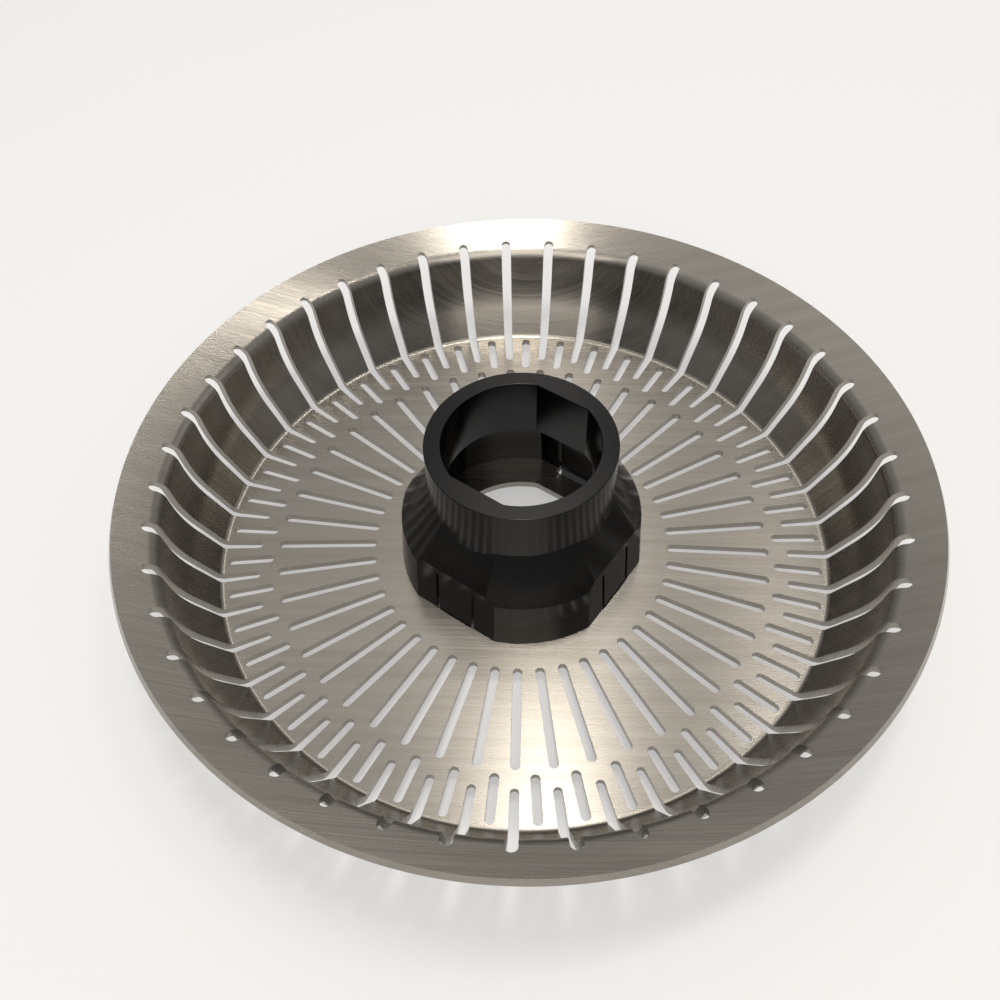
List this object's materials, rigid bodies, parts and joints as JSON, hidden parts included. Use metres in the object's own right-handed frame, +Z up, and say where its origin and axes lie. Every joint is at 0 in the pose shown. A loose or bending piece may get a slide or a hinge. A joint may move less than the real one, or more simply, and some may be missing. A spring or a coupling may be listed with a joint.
{
  "type": "juicer filter",
  "caption": "Round slotted steel strainer dish with a black hub that clips into the dish's floor and has a bore with opposite flats.",
  "frame": {"origin": "on the dish's axis, level with the tips of the hub's tongues, which are the lowest points", "axes": "+Z up along the axis of the dish and the hub, towards the collar; one wall slot lies on -Y"},
  "size_m": [0.1592, 0.1592, 0.0356],
  "materials": {
    "dish_steel": "satin, brushed one way across the dish",
    "hub_black": "gloss black"
  },
  "bodies": {
    "root": {"strainer_dish": "dish_steel", "hub": "hub_black"}
  },
  "joints": []
}
